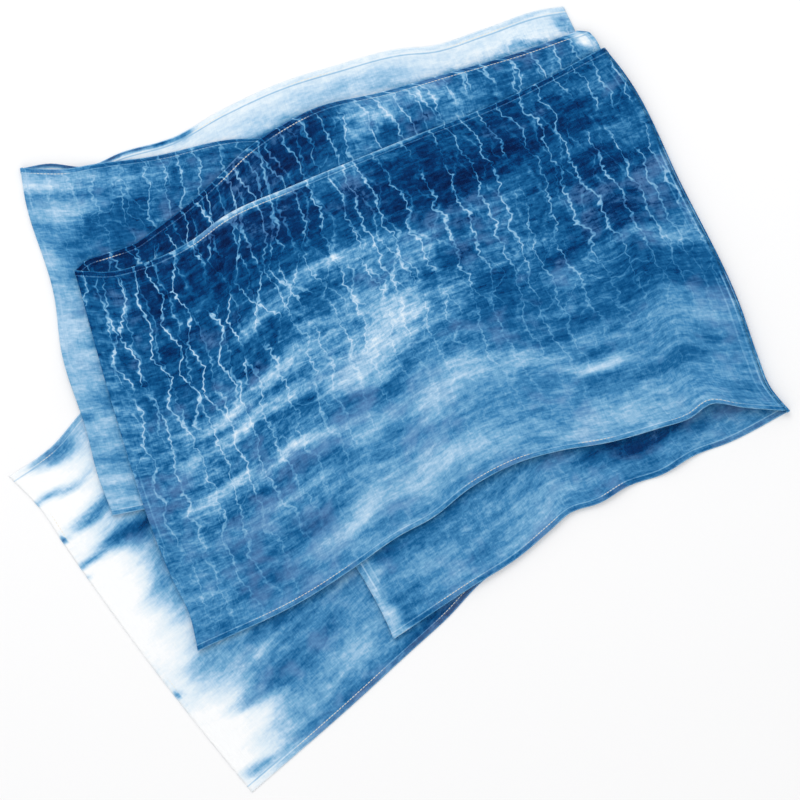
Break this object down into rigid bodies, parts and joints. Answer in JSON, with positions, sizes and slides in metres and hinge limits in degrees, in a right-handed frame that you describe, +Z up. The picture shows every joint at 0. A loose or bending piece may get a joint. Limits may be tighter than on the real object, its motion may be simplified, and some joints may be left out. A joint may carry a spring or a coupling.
{
  "type": "folded tie-dye silk cloth",
  "caption": "Long sheer hemmed silk cloth, dyed indigo blue with pale crackle lines and a white end, folded back and forth and laid flat.",
  "frame": {"origin": "centre of the footprint, on the surface that the cloth lies on", "axes": "+Z up, the shortest extent; +X along the folds towards the end where most of them turn, +Y away from the free white end's long side"},
  "size_m": [0.7048, 0.7092, 0.0141],
  "materials": {
    "dyed_silk": "sheer plain-woven silk, tie-dyed indigo with pale crackle lines and a white end, soft sheen"
  },
  "bodies": {
    "root": {"silk_cloth": "dyed_silk"}
  },
  "joints": []
}
